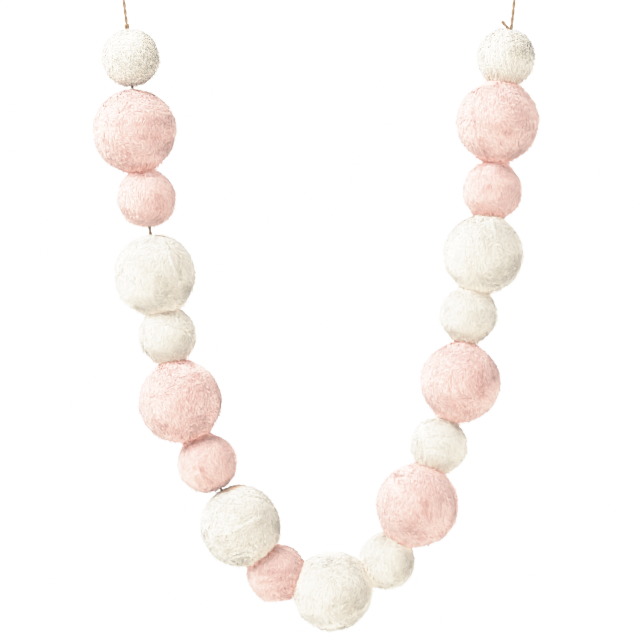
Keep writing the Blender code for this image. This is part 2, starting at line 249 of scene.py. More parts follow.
class GarlandFurSettings(bpy.types.PropertyGroup):
    strand_length: length_setting("Strand length", "Length of a strand of pile along the ball", 6.4 * MM)
    strand_width: length_setting("Strand width", "Width of a bundle of fibres that lies together", 0.5 * MM)
    root_depth: length_setting("Root depth", "How far under the pile's surface the strands start", 1.9 * MM)
    skin_depth: length_setting("Backing depth", "How far under the pile's surface the backing lies", 0.7 * MM)
    lock_relief: length_setting("Lock relief", "How unevenly the locks of pile stand", 0.08 * MM)
    strands_per_cm2: bpy.props.FloatProperty(
        name="Strands per square centimetre", description="Density of the pile", default=76.0, min=1.0
    )
    softness: bpy.props.FloatProperty(
        name="Softness",
        description="How far the strands take their shading from the ball and not from themselves",
        default=0.47,
        min=0.0,
        max=1.0,
        subtype="FACTOR",
    )
    white_tip: colour_setting("White pile", "Colour of the white pile at its tips", "F8F6F0")
    white_root: colour_setting("White roots", "Colour of the white pile at its roots", "E4DDD2")
    pink_tip: colour_setting("Pink pile", "Colour of the pink pile at its tips", "FDE7E3")
    pink_root: colour_setting("Pink roots", "Colour of the pink pile at its roots", "F0C2BB")
    # Painted shade: the colour mixed into the pile between ruffled strands, in the dips and partings of the pile
    # lines, and on the lower right of each ball.
    white_painted_shade: colour_setting("White hollows", "Colour deep between ruffled strands of white pile", "D3C9BC")
    pink_painted_shade: colour_setting("Pink hollows", "Colour deep between ruffled strands of pink pile", "BC8C84")
    white_bloom: colour_setting("White bloom", "Colour of light that grazes the white pile", "FCF9F2")
    pink_bloom: colour_setting("Pink bloom", "Colour of light that grazes the pink pile", "FCE4E1")
    # Colours of the painted glow at the seats, where two balls press.
    white_painted_glow: colour_setting("White soak", "Colour of light soaked through white pile at a seat", "F8DCC6")
    pink_painted_glow: colour_setting("Pink soak", "Colour of light soaked through pink pile at a seat", "F2A08E")
    backing: colour_setting("Backing", "Colour of the knitted backing at a seam", "E0BCA2")


class GarlandTwineSettings(bpy.types.PropertyGroup):
    ply_radius: length_setting("Ply radius", "Radius of each of the two plies", 0.96 * MM)
    ply_offset: length_setting("Ply offset", "How far each ply's middle is from the twine's", 0.6 * MM)
    pitch: length_setting("Pitch", "Length of one full turn of the plies", 15.0 * MM)
    light: colour_setting("Light fibre", "Colour of the palest jute fibres", "B2977B")
    dark: colour_setting("Dark fibre", "Colour of the darkest jute fibres", "69523F")


class GarlandStageSettings(bpy.types.PropertyGroup):
    camera_distance: length_setting("Camera distance", "From the camera to the garland", 2.5)
    floor_drop: length_setting("Floor", "How far below the origin the floor is", 1.5)
    sky_strength: bpy.props.FloatProperty(
        name="Sky strength", description="Strength of the white surroundings in front", default=0.72, min=0.0
    )
    backdrop_strength: bpy.props.FloatProperty(
        name="Backdrop strength", description="Strength of the lit white backdrop behind", default=3.2, min=0.0
    )
    key_power: bpy.props.FloatProperty(
        name="Key power", description="Power of the soft light at the upper left", default=87.0, min=0.0, subtype="POWER"
    )
    fill_power: bpy.props.FloatProperty(
        name="Fill power", description="Power of the soft light at the right", default=7.0, min=0.0, subtype="POWER"
    )


def fur_material(name, tip, root, painted_shade, backing, bloom, painted_glow):
    """Polyester plush with a cut pile, brushed.

    The fine matt fibres scatter nearly all light, so the pile has no highlights, its tips are palest, painted shade
    darkens it between the strands and on the side away from the light, and grazing edges keep a pale bloom. Where two
    balls press, it glows faintly with painted light.
    """
    material, tree = new_material(name)
    strand = add_node(tree, "ShaderNodeAttribute", {"attribute_name": "strand"})
    tone_and_shade = add_node(tree, "ShaderNodeAttribute", {"attribute_name": "tone_and_shade"})
    seam = add_node(tree, "ShaderNodeAttribute", {"attribute_name": "seam"})
    glowing = add_node(tree, "ShaderNodeAttribute", {"attribute_name": "glowing"})
    place = add_node(tree, "ShaderNodeTexCoord")
    # Fibres are 0.03 mm wide; mottling of about 1.2 mm is drawn, because finer doesn't show: 800 to the metre.
    fibres = add_node(
        tree,
        "ShaderNodeTexNoise",
        {"noise_dimensions": "3D"},
        {"Vector": place.outputs["Object"], "Scale": 800.0, "Detail": 2.0, "Roughness": 0.6},
    )
    pile = add_node(
        tree,
        "ShaderNodeMix",
        {"data_type": "RGBA"},
        {"Factor": strand.outputs["Fac"], "A": (*root, 1), "B": (*tip, 1)},
    )
    # How much painted shade the pile takes: fine mottling plus each point's tone and shade.
    depth = add_node(
        tree,
        "ShaderNodeMath",
        {"operation": "MULTIPLY_ADD"},
        {0: fibres.outputs["Fac"], 1: 0.3, 2: tone_and_shade.outputs["Fac"]},
    )
    amount = add_node(
        tree,
        "ShaderNodeMapRange",
        None,
        {"Value": depth.outputs[0], "From Min": 0.3, "From Max": 1.15, "To Min": 0.0, "To Max": 0.7},
    )
    # Mixes in the painted shade colour.
    with_painted_shade = add_node(
        tree,
        "ShaderNodeMix",
        {"data_type": "RGBA"},
        {"Factor": amount.outputs["Result"], "A": pile.outputs["Result"], "B": (*painted_shade, 1)},
    )
    # Mixes in the backing's colour at seams, on the listed patches, and as painted shade round seats.
    colour = add_node(
        tree,
        "ShaderNodeMix",
        {"data_type": "RGBA"},
        {"Factor": seam.outputs["Fac"], "A": with_painted_shade.outputs["Result"], "B": (*backing, 1)},
    )
    # The emission is a faint painted glow where two balls press, standing in for light coming through the pressed
    # pile.
    shader = add_node(
        tree,
        "ShaderNodeBsdfPrincipled",
        None,
        {
            "Base Color": colour.outputs["Result"],
            "Roughness": 0.9,
            "Specular IOR Level": 0.15,
            "Sheen Weight": 0.8,
            "Sheen Tint": (*bloom, 1),
            "Emission Color": (*painted_glow, 1),
            "Emission Strength": glowing.outputs["Fac"],
            "Sheen Roughness": 0.5,
        },
    )
    add_node(tree, "ShaderNodeOutputMaterial", None, {"Surface": shader.outputs["BSDF"]})
    return material


def twine_material(light, dark):
    """Natural jute, two plies twisted by machine, unwaxed.

    Dry, matt and straw brown; the pale and dark fibres run along each ply, and the groove between
    the plies is the darkest line.
    """
    material, tree = new_material("natural jute twine")
    lay = add_node(tree, "ShaderNodeAttribute", {"attribute_name": "lay"})
    # Fibres are 0.05 mm wide; streaks of 0.4 mm are drawn, because finer ones don't show.
    streaks = add_node(
        tree,
        "ShaderNodeTexNoise",
        {"noise_dimensions": "3D"},
        {"Vector": lay.outputs["Vector"], "Scale": 2.2, "Detail": 4.0, "Roughness": 0.65},
    )
    spread = add_node(
        tree,
        "ShaderNodeMapRange",
        None,
        {"Value": streaks.outputs["Fac"], "From Min": 0.3, "From Max": 0.7},
    )
    colour = add_node(
        tree,
        "ShaderNodeMix",
        {"data_type": "RGBA"},
        {"Factor": spread.outputs["Result"], "A": (*dark, 1), "B": (*light, 1)},
    )
    bump = add_node(
        tree,
        "ShaderNodeBump",
        None,
        {"Strength": 0.5, "Distance": 0.15 * MM, "Height": streaks.outputs["Fac"]},
    )
    shader = add_node(
        tree,
        "ShaderNodeBsdfPrincipled",
        None,
        {
            "Base Color": colour.outputs["Result"],
            "Roughness": 0.85,
            "Specular IOR Level": 0.2,
            "Normal": bump.outputs["Normal"],
        },
    )
    add_node(tree, "ShaderNodeOutputMaterial", None, {"Surface": shader.outputs["BSDF"]})
    return material


def floor_material():
    """Matt white board: an even pale ground without gloss."""
    material, tree = new_material("matt white board")
    shader = add_node(
        tree, "ShaderNodeBsdfPrincipled", None, {"Base Color": (*linear("F4F3F0"), 1), "Roughness": 0.95}
    )
    add_node(tree, "ShaderNodeOutputMaterial", None, {"Surface": shader.outputs["BSDF"]})
    return material


def place(across_mm, drop_mm, depth_mm=0.0):
    """Point right of, below and behind the origin."""
    return Vector((across_mm * MM, depth_mm * MM, -drop_mm * MM))


def link_mesh(name, mesh, material):
    piece = bpy.data.objects.new(name, mesh)
    mesh.materials.append(material)
    bpy.context.scene.collection.objects.link(piece)
    return piece


def unit(vectors):
    return vectors / np.maximum(np.linalg.norm(vectors, axis=-1, keepdims=True), 1e-12)


def dots(one, other):
    return np.sum(one * other, axis=-1, keepdims=True)


# Strands: closed spindles, which are copied along short curves and joined into one mesh.

StrandPattern = namedtuple("StrandPattern", "across along faces")


def strand_pattern(rise):
    """A strand of unit length and half width: a blade pointed at both ends, widest and raised at its middle."""
    bm = bmesh.new()
    for corner in ((0.0, 0.0, 0.0), (-1.0, rise, 0.45), (1.0, rise, 0.45), (0.0, 0.0, 1.0)):
        bm.verts.new(corner)
    bmesh.ops.convex_hull(bm, input=bm.verts)
    bmesh.ops.recalc_face_normals(bm, faces=bm.faces)
    bm.verts.index_update()
    points = np.array([v.co for v in bm.verts])
    faces = np.array([[v.index for v in f.verts] for f in bm.faces])
    bm.free()
    return StrandPattern(points[:, :2], points[:, 2], faces)


Strands = namedtuple("Strands", "points along faces")


def lay_strands(pattern, roots, bends, tips, widths, outward):
    """Copies the spindle along the curve from each root over its bend to its tip."""
    count, corners = len(roots), len(pattern.along)
    along = pattern.along[None, :, None]
    centre = (1 - along) ** 2 * roots[:, None] + 2 * along * (1 - along) * bends[:, None] + along**2 * tips[:, None]
    axis = unit(tips - roots)
    side = unit(np.cross(outward, axis))
    up = np.cross(axis, side)
    across = pattern.across[None, :, :1] * side[:, None] + pattern.across[None, :, 1:] * up[:, None]
    points = centre + across * (widths / 2)[:, None, None]
    faces = pattern.faces[None] + np.arange(count)[:, None, None] * corners
    return Strands(
        points.reshape(-1, 3),
        np.tile(pattern.along, count),
        faces.reshape(-1, 3),
    )


class PileSurface:
    """How far the fur's outer surface stands from a ball's middle, read off the CAD node by rays."""

    ROWS = 64
    COLUMNS = 128
    MOUTH_SHARE = 0.86
    SMOOTHING = 6

    def __init__(self, node, centre, radius):
        self.centre = np.array(centre)
        self.radius = radius
        bm = bmesh.new()
        bm.from_mesh(node.data)
        bmesh.ops.remove_doubles(bm, verts=bm.verts, dist=1e-6)
        bmesh.ops.triangulate(bm, faces=bm.faces)
        tree = BVHTree.FromBMesh(bm)
        self.tufts = self.find_tufts(bm, centre)
        bm.free()
        self.grid = np.empty((self.ROWS + 1, self.COLUMNS))
        for row in range(self.ROWS + 1):
            polar = math.pi * row / self.ROWS
            for column in range(self.COLUMNS):
                turn = math.tau * column / self.COLUMNS
                out = Vector(
                    (math.sin(polar) * math.sin(turn), math.cos(polar), math.sin(polar) * math.cos(turn))
                )
                hit = tree.ray_cast(centre + out * radius * 1.6, -out)[0]
                reach = (hit - centre).dot(out) if hit else 0.0
                self.grid[row, column] = max(reach, radius * self.MOUTH_SHARE)
        for _ in range(self.SMOOTHING):
            around = (np.roll(self.grid, 1, axis=1) + np.roll(self.grid, -1, axis=1)) / 2
            self.grid = (self.grid + around) / 2
            self.grid[1:-1] = (self.grid[:-2] + 2 * self.grid[1:-1] + self.grid[2:]) / 4

    @staticmethod
    def find_tufts(bm, centre):
        """Tips of the tufts that stand out of the solid, from the ball's middle."""
        tips = []
        for vert in bm.verts:
            reach = (vert.co - centre).length
            around = [(edge.other_vert(vert).co - centre).length for edge in vert.link_edges]
            if reach > max(around) + 0.8 * MM:
                tips.append(vert.co - centre)
        return np.array(tips).reshape(-1, 3)

    def reach(self, out):
        row = np.arccos(np.clip(out[..., 1], -1, 1)) / math.pi * self.ROWS
        column = (np.arctan2(out[..., 0], out[..., 2]) / math.tau % 1.0) * self.COLUMNS
        row_at = np.minimum(row.astype(int), self.ROWS - 1)
        column_at = column.astype(int) % self.COLUMNS
        next_column = (column_at + 1) % self.COLUMNS
        row_share = row - row_at
        column_share = column - np.floor(column)
        upper = self.grid[row_at, column_at] * (1 - column_share) + self.grid[row_at, next_column] * column_share
        lower = (
            self.grid[row_at + 1, column_at] * (1 - column_share) + self.grid[row_at + 1, next_column] * column_share
        )
        return (upper * (1 - row_share) + lower * row_share)[..., None]

    def outward(self, out, step=0.07):
        """Directions at right angles to the surface, averaged over a few millimetres."""
        side = unit(np.cross(out, np.array([0.31, 0.86, 0.41])))
        up = np.cross(out, side)
        here = self.reach(out)
        tilted = out.copy()
        for way in (side, up):
            rise = self.reach(unit(out + step * way)) - self.reach(unit(out - step * way))
            tilted = tilted - way * rise / (2 * step * here)
        return unit(tilted)

    def on_front(self, x, z, lift=0.0):
        """Points of the front surface right of and above the middle."""
        level = np.sqrt(np.maximum((self.radius * 0.985) ** 2 - x**2 - z**2, 0.0))
        out = unit(np.stack([x, -level, z], axis=-1))
        return out * (self.reach(out) + lift)


def nearest_on_line(points, line):
    """Nearest place to each point on a run of straight stretches."""
    best, best_gap = None, None
    for start, end in zip(line, line[1:]):
        span = end - start
        share = np.clip(dots(points - start, span) / np.dot(span, span), 0, 1)
        near = start + share * span
        gap = np.linalg.norm(points - near, axis=1, keepdims=True)
        if best is None:
            best, best_gap = near, gap
        else:
            best = np.where(gap < best_gap, near, best)
            best_gap = np.minimum(gap, best_gap)
    return best, best_gap


def front_line(surface, row, lift=0.0):
    share = np.linspace(0, 1, 9)
    x = (row.from_x + (row.to_x - row.from_x) * share) * MM
    z = (row.from_z + (row.to_z - row.from_z) * share) * MM
    return surface.on_front(x, z, lift)


def seats_of(index):
    """Planes on which a ball's pile presses on its neighbours': outward normal and distance from its middle."""
    here = BALLS[index]
    seats = []
    for other in (index - 1, index + 1):
        if not 0 <= other < len(BALLS):
            continue
        there = BALLS[other]
        span = place(*there[2:5]) - place(*here[2:5])
        reach, gap = here.wide_mm * MM / 2, span.length
        other_reach = there.wide_mm * MM / 2
        if gap < reach + other_reach:
            distance = (gap**2 + reach**2 - other_reach**2) / (2 * gap)
        else:
            distance = reach + (gap - reach - other_reach) / 2
        seats.append((np.array(span.normalized()), distance))
    return seats


def pressed_seats(index):
    """The seats at which a ball touches its neighbour; elsewhere the bare twine shows between them."""
    return [(normal, distance) for normal, distance in seats_of(index) if distance < BALLS[index].wide_mm * MM / 2]


def soft_waves(points, rng, count, shortest_mm, longest_mm, size=1):
    """A smooth random field: a sum of waves that run through the ball in all directions."""
    field = np.zeros((len(points), size))
    for _ in range(count):
        wave = unit(rng.normal(size=3)) * math.tau / (rng.uniform(shortest_mm, longest_mm) * MM)
        field += rng.normal(size=size) * np.sin(points @ wave + rng.uniform(0, math.tau))[:, None]
    return field


def marks_on(index, surface, starts):
    """What the lines on a ball's front do to its pile: its lean, height and slope, and how much painted shade its
    colour takes.
    """
    lean, slope = np.zeros_like(starts), np.zeros_like(starts)
    lift, depth = np.zeros((len(starts), 1)), np.zeros((len(starts), 1))
    for row in PILE_LINES:
        if row.ball != index + 1:
            continue
        near, gap = nearest_on_line(starts, front_line(surface, row))
        share = gap / (row.reach_mm * MM)
        lean += unit(near - starts) * max(row.strength, 0.0) * np.exp(-(share**2))
        raised = row.strength * LINE_HEIGHT * np.exp(-((2 * share) ** 2))
        lift += raised
        slope += raised * 8 * share / (row.reach_mm * MM) * unit(near - starts)
        depth -= row.strength * np.exp(-(share**2))
    return lean, lift, slope, depth


def backing_colour_share(index, starts):
    """How much of the backing's colour the pile shows, from 0 to 1."""
    share = np.zeros(len(starts))
    for patch in BACKING_COLOUR_PATCHES:
        if patch.ball == index + 1:
            run_x, run_z = patch.to_x - patch.from_x, patch.to_z - patch.from_z
            above = (starts[:, 2] / MM - patch.from_z) * run_x - (starts[:, 0] / MM - patch.from_x) * run_z
            front = starts[:, 1] < patch.behind_mm * MM
            share += front * np.clip(above / math.hypot(run_x, run_z) / 0.8, 0, 1)
    return share


def nearest_tree(points):
    tree = KDTree(len(points))
    for at, point in enumerate(points):
        tree.insert(point, at)
    tree.balance()
    return tree


def even_directions(count, rng):
    """Directions spread evenly over a ball, a little shaken."""
    order = np.arange(count) + 0.5
    height = 1 - 2 * order / count
    turn = order * math.pi * (3 - math.sqrt(5))
    ring = np.sqrt(1 - height**2)
    out = np.stack([ring * np.cos(turn), ring * np.sin(turn), height], axis=1)
    return unit(out + rng.normal(size=out.shape) * 0.8 * math.sqrt(4 * math.pi / count))


def ball_pile(index, surface, pattern, fur, rng):
    """Strands of pile over a whole ball, brushed, drawn into locks, and pressed flat at its seats.

    Also gives each strand's tone with its painted shade, the slope it lies on and how much backing colour it shows.
    """
    count = round(4 * math.pi * (surface.radius * 100) ** 2 * fur.strands_per_cm2)
    out = even_directions(count, rng)
    outward = surface.outward(out)
    starts = out * surface.reach(out)
    leaders = rng.choice(count, count // STRANDS_IN_LOCK, replace=False)
    tree = nearest_tree(starts[leaders])
    lock = np.array([tree.find(start)[1] for start in starts])
    lean, lift, slope, depth = marks_on(index, surface, starts)

    def of_lock(values):
        return values[lock]

    # The lower right side, away from the light: its strands ruffle more, and painted shade darkens their colour.
    under = np.clip(RUFFLE_AND_SHADE_START - out[:, 2:] * 0.8 + out[:, :1] * 0.4, 0, 1)
    ruffle_and_shade = np.clip(depth, 0, 1) + under * RUFFLE_AND_SHADE_UNDER
    flow = BRUSHED_DOWN + soft_waves(starts, rng, 5, 18, 56, 3) * 0.24 + lean * LEAN_TO_RIDGE
    flow += of_lock(rng.normal(size=(len(leaders), 3))) * 0.12 + rng.normal(size=(count, 3)) * (0.07 + 0.16 * ruffle_and_shade)
    flow = unit(flow - dots(flow, outward) * outward)
    length = fur.strand_length * of_lock(rng.uniform(0.8, 1.2, (len(leaders), 1)))
    length = length * rng.uniform(0.8, 1.15, (count, 1))
    height = of_lock(rng.normal(size=(len(leaders), 1))) * fur.lock_relief + rng.uniform(-0.15, 0.25, (count, 1)) * MM
    guard = rng.uniform(0, 1, (count, 1)) < 0.09
    height += ruffle_and_shade * rng.uniform(-0.6, 1.2, (count, 1)) * MM
    height += guard * rng.uniform(0.4, 1.7, (count, 1)) * (1 + 0.7 * ruffle_and_shade) * MM
    tip_out = unit(starts + flow * length * (1 - MIDDLE_SHARE))
    reach = surface.reach(tip_out) + height + lift
    tips = tip_out * reach
    drawn = tips + (of_lock(tips[leaders]) - tips) * rng.uniform(0.0, 0.4, (count, 1))
    tips = unit(drawn) * reach
    if len(surface.tufts):
        tree = nearest_tree(surface.tufts)
        found = [tree.find(tip) for tip in tips]
        apex, gap = np.array([f[0] for f in found]), np.array([f[2] for f in found])[:, None]
        tips += tip_out * np.exp(-((gap / SHAG_REACH) ** 2)) * rng.uniform(0, 1, (count, 1)) ** 2 * SHAG_HEIGHT
        into = 0.45 * rng.uniform(0, 1, (count, 1)) ** 1.5 * (gap < TUFT_REACH)
        tips += (apex * 0.992 - tips) * into
    bends = out * (surface.reach(out) + 0.3 * MM + lift + height * 0.4)
    root_out = unit(starts - flow * length * MIDDLE_SHARE)
    roots = root_out * (surface.reach(root_out) - fur.root_depth)
    # Each strand's tone: random mottling, plus painted shade from the lines' dips and partings and on the lower
    # right, away from the light; ridges take less of it.
    tone_and_shade = 0.16 + soft_waves(starts, rng, 6, 18, 48) * 0.09 + depth * 0.45 + under * 0.1
    tone_and_shade += of_lock(rng.normal(size=(len(leaders), 1))) * 0.07 + rng.normal(size=(count, 1)) * (0.05 + 0.3 * ruffle_and_shade)
    for normal, distance in pressed_seats(index):
        stand = rng.uniform(0.3, 1.2, (count, 1))
        for points in (tips, bends):
            short = (distance - points @ normal)[:, None]
            points += SEAT_FILL * stand * np.exp(-((short / SEAT_REACH) ** 2)) * normal
            points -= np.maximum((points @ normal)[:, None] - distance - SEAT_MINGLE * stand, 0) * normal
    widths = rng.uniform(0.7, 1.3, count) * fur.strand_width
    # How much of the backing's colour each strand shows, on the listed patches.
    bare = backing_colour_share(index, starts)
    keep = np.ones(count, bool)
    for row in SEAM_LINES:
        if row.ball == index + 1:
            line = front_line(surface, row)
            keep &= nearest_on_line(tips, line)[1][:, 0] > row.wide_mm * 0.65 * MM
            keep &= nearest_on_line(bends, line)[1][:, 0] > row.wide_mm * 0.65 * MM
    strands = lay_strands(pattern, roots[keep], bends[keep], tips[keep], widths[keep], outward[keep])
    return strands, np.clip(tone_and_shade[keep, 0], 0, 1), slope[keep], bare[keep]


def seam_strands(index, surface, pattern, rng):
    """Short thick stitches of backing along a ball's seam."""
    parts = []
    for row in SEAM_LINES:
        if row.ball != index + 1:
            continue
        line = front_line(surface, row, 0.4 * MM)
        stretches = np.linalg.norm(np.diff(line, axis=0), axis=1)
        run = np.concatenate([[0], np.cumsum(stretches)])
        starts = np.arange(0.0, run[-1] - 2.0 * MM, 1.1 * MM)
        lanes = round(row.wide_mm / 0.8)
        for lane in range(lanes):
            jitter = rng.normal(size=(len(starts), 3)) * 0.2 * MM
            ends = []
            for ahead in (0, 2.2 * MM, 4.4 * MM):
                ends.append(np.stack([np.interp(starts + ahead, run, line[:, k]) for k in range(3)], axis=1))
            sideways = unit(np.cross(ends[2] - ends[0], ends[0])) * (lane - (lanes - 1) / 2) * 0.75 * MM
            first, middle, last = (point + jitter + sideways for point in ends)
            widths = rng.uniform(1.0, 1.5, len(starts)) * MM
            parts.append(lay_strands(pattern, first, middle + unit(middle) * 0.2 * MM, last, widths, unit(first)))
    return parts


def ball_skin(surface, depth):
    """The cover's backing under the pile: a closed lumpy ball, dimpled at its needle holes."""
    bm = bmesh.new()
    bmesh.ops.create_icosphere(bm, subdivisions=3, radius=1.0)
    bm.verts.index_update()
    out = unit(np.array([v.co for v in bm.verts]))
    points = out * (surface.reach(out) - depth)
    faces = np.array([[v.index for v in f.verts] for f in bm.faces])
    bm.free()
    return points, faces


def dress_ball(index, pattern, fur, materials):
    ball = BALLS[index]
    rng = np.random.default_rng(index + 11)
    surface = PileSurface(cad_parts[ball.node], place(*ball[2:5]), ball.wide_mm * MM / 2)
    skin_points, skin_faces = ball_skin(surface, fur.skin_depth)
    pile, pile_tone_and_shade, pile_slope, pile_backing_colour = ball_pile(index, surface, pattern, fur, rng)
    seams = seam_strands(index, surface, pattern, rng)
    sets = [pile, *seams]
    points = np.concatenate([skin_points, *[s.points for s in sets]])
    faces, start = [skin_faces], len(skin_points)
    for s in sets:
        faces.append(s.faces + start)
        start += len(s.points)
    corners = len(pattern.along)
    strand = np.concatenate([np.full(len(skin_points), 0.2), *[s.along for s in sets]])
    # The backing takes a little painted shade in its tone.
    tone_and_shade = np.concatenate([np.full(len(skin_points), 0.3), np.repeat(pile_tone_and_shade, corners)])
    tone_and_shade = np.concatenate([tone_and_shade, np.full(len(points) - len(tone_and_shade), 0.5)])
    seam = np.zeros(len(points))
    pile_part = slice(len(skin_points), len(skin_points) + len(pile.points))
    seam[pile_part.stop :] = 1.0
    seam[pile_part] = np.repeat(pile_backing_colour, corners)
    soft = surface.outward(unit(points), SHADE_STEP)
    soft[pile_part] -= np.repeat(pile_slope, corners, axis=0)
    # Painted glow round each pressed seat, strongest at the seat plane.
    glowing = np.zeros(len(points))
    for normal, distance in pressed_seats(index):
        near = np.exp(-(((distance - points @ normal) / COLLAR_REACH) ** 2))
        glowing = np.maximum(glowing, SEAT_PAINTED_GLOW * near**3)
        soft -= COLLAR_TURN * near[:, None] * dots(soft, normal) * normal
        # Painted shade: the backing's warm colour is mixed in round the seat.
        seam = np.maximum(seam, near * SEAT_PAINTED_SHADE)
    mesh = bpy.data.meshes.new(f"{ball.node}_fur")
    mesh.from_pydata((points + surface.centre).tolist(), [], np.concatenate(faces).tolist())
    for name, values in (("strand", strand), ("tone_and_shade", tone_and_shade), ("seam", seam), ("glowing", glowing)):
        mesh.attributes.new(name, "FLOAT", "POINT").data.foreach_set("value", values.astype(np.float32))
    mesh.shade_smooth()
    own = np.empty(len(points) * 3, np.float32)
    mesh.vertices.foreach_get("normal", own)
    normals = unit(soft * fur.softness + own.reshape(-1, 3) * (1 - fur.softness))
    mesh.normals_split_custom_set_from_vertices(normals.tolist())
    piece = link_mesh(f"{ball.node}_fur", mesh, materials[ball.shade])
    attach(piece, "root")
    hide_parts(ball.node)


# Twine: a section of two plies, extruded along a line and turned as it goes.


def ply_section(twine, sides):
    """Outline of the two plies side by side, around the twine's middle."""
    outline = []
    for side in range(sides):
        angle = math.tau * side / sides
        along, over = twine.ply_offset * math.cos(angle), twine.ply_offset * math.sin(angle)
        reach = abs(along) + math.sqrt(twine.ply_radius**2 - over**2)
        outline.append((reach * math.cos(angle), reach * math.sin(angle)))
    return outline


def even_steps(points, step):
    """Points at even steps along a smooth line through the given points."""
    points = [Vector(p) for p in points]
    ends = [2 * points[0] - points[1], *points, 2 * points[-1] - points[-2]]
    fine = []
    for a, b, c, d in zip(ends, ends[1:], ends[2:], ends[3:]):
        for part in range(12):
            t = part / 12
            fine.append(0.5 * (2 * b + (c - a) * t + (2 * a - 5 * b + 4 * c - d) * t**2 + (3 * b - a - 3 * c + d) * t**3))
    fine.append(points[-1])
    run = np.concatenate([[0], np.cumsum([(q - p).length for p, q in zip(fine, fine[1:])])])
    at = np.linspace(0, run[-1], max(2, round(run[-1] / step)) + 1)
    fine = np.array(fine)
    return [Vector(p) for p in np.stack([np.interp(at, run, fine[:, k]) for k in range(3)], axis=1)]


def stations_along(centres, pitch, start_turn=0.0):
    """Placement of the section at each centre, without twist but for the plies' own."""
    ahead = (centres[1] - centres[0]).normalized()
    turn = ahead.to_track_quat("Z", "Y")
    run = 0.0
    stations = []
    for at, centre in enumerate(centres):
        before = centres[max(at - 1, 0)]
        after = centres[min(at + 1, len(centres) - 1)]
        now = (after - before).normalized()
        turn = ahead.rotation_difference(now) @ turn
        ahead = now
        run += (centre - before).length
        spin = Matrix.Rotation(start_turn + math.tau * run / pitch, 4, "Z") if pitch else Matrix.Identity(4)
        stations.append((Matrix.Translation(centre) @ turn.to_matrix().to_4x4() @ spin, run))
    return stations


def sweep(bm, outline, stations, scales=None):
    """Extrudes a closed outline from station to station, with a lay attribute for the fibres."""
    lay = bm.verts.layers.float_vector["lay"]
    ring = bmesh.ops.create_circle(bm, cap_ends=True, segments=len(outline), radius=1.0)["verts"]
    first, _ = stations[0]
    scales = scales or [1.0] * len(stations)
    for vert, (x, y) in zip(ring, outline):
        vert.co = first @ Vector((x * scales[0], y * scales[0], 0.0))
        vert[lay] = (x / MM, y / MM, 0.0)
    faces = set(ring[0].link_faces)
    edges = list({edge for vert in ring for edge in vert.link_edges})
    for at in range(1, len(stations)):
        (before, _), (after, run) = stations[at - 1], stations[at]
        grown = bmesh.ops.extrude_edge_only(bm, edges=edges)["geom"]
        ring = [item for item in grown if isinstance(item, bmesh.types.BMVert)]
        edges = [item for item in grown if isinstance(item, bmesh.types.BMEdge)]
        grow = Matrix.Scale(scales[at] / scales[at - 1], 4)
        bmesh.ops.transform(bm, matrix=after @ grow @ before.inverted(), verts=ring)
        for vert in ring:
            vert[lay] = (vert[lay][0], vert[lay][1], run / MM * 0.16)
    cap = bmesh.ops.contextual_create(bm, geom=edges)["faces"]
    return faces | set(cap)


def new_tube_mesh():
    bm = bmesh.new()
    bm.verts.layers.float_vector.new("lay")
    return bm


def finish_tube(name, bm, material):
    bmesh.ops.recalc_face_normals(bm, faces=bm.faces)
    for face in bm.faces:
        face.smooth = True
    mesh = bpy.data.meshes.new(name)
    bm.to_mesh(mesh)
    bm.free()
    piece = link_mesh(name, mesh, material)
    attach(piece, "root")
    return piece


def twine_fuzz(name, pattern, centres, per_mm, material, rng, radius=1.2 * MM):
    """Loose jute fibres that stand off the twine."""
    line = np.array(centres)
    count = max(4, round(len(line) * (line[1] - line[0]).dot(line[1] - line[0]) ** 0.5 / MM * per_mm))
    at = rng.uniform(0, len(line) - 1.01, count)
    low = at.astype(int)
    middle = line[low] + (line[low + 1] - line[low]) * (at - low)[:, None]
    ahead = unit(line[low + 1] - line[low])
    out = rng.normal(size=(count, 3))
    out = unit(out - dots(out, ahead) * ahead)
    reach = rng.uniform(1.2, 3.2, (count, 1)) * MM
    roots = middle + out * radius * 0.6
    bends = middle + out * radius * 1.3 + ahead * reach * 0.5
    tips = middle + out * (radius + rng.uniform(0.3, 1.4, (count, 1)) * MM) + ahead * reach
    fibres = lay_strands(pattern, roots, bends, tips, rng.uniform(0.14, 0.26, count) * MM, out)
    mesh = bpy.data.meshes.new(name)
    mesh.from_pydata(fibres.points.tolist(), [], fibres.faces.tolist())
    lay = np.stack([fibres.along, np.repeat(rng.uniform(0, 9, count), len(pattern.along)), fibres.along], axis=1)
    mesh.attributes.new("lay", "FLOAT_VECTOR", "POINT").data.foreach_set("vector", lay.ravel().astype(np.float32))
    mesh.shade_smooth()
    piece = link_mesh(name, mesh, material)
    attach(piece, "root")
    return piece


# Ends of the twine, as in the part's source: where it leaves the ball and where the loop's knot is.
TwineEnd = namedtuple("TwineEnd", "name exit_across_mm exit_drop_mm knot_across_mm knot_drop_mm")
LEFT_END = TwineEnd("left", 9.8, 79.6, 4.4, 36.0)
RIGHT_END = TwineEnd("right", 393.7, 79.4, 398.4, 36.0)
KNOT_GAP = 0.4 * MM
STOP_KNOT_HALF = (3.3 * MM, 2.9 * MM)
LOOP_KNOT_HALF = (3.8 * MM, 3.6 * MM)
LOOP_HEIGHT = 33.5 * MM
LOOP_WIDTH = 15.0 * MM
LOOP_FOOT = 1.7 * MM
LOOP_POINTS = 15
BEND_REACH = 4.0 * MM
TAIL_ROOT = place(392.4, 81.0, -2.9)
TAIL_TIP = place(384.4, 71.6, -2.0)


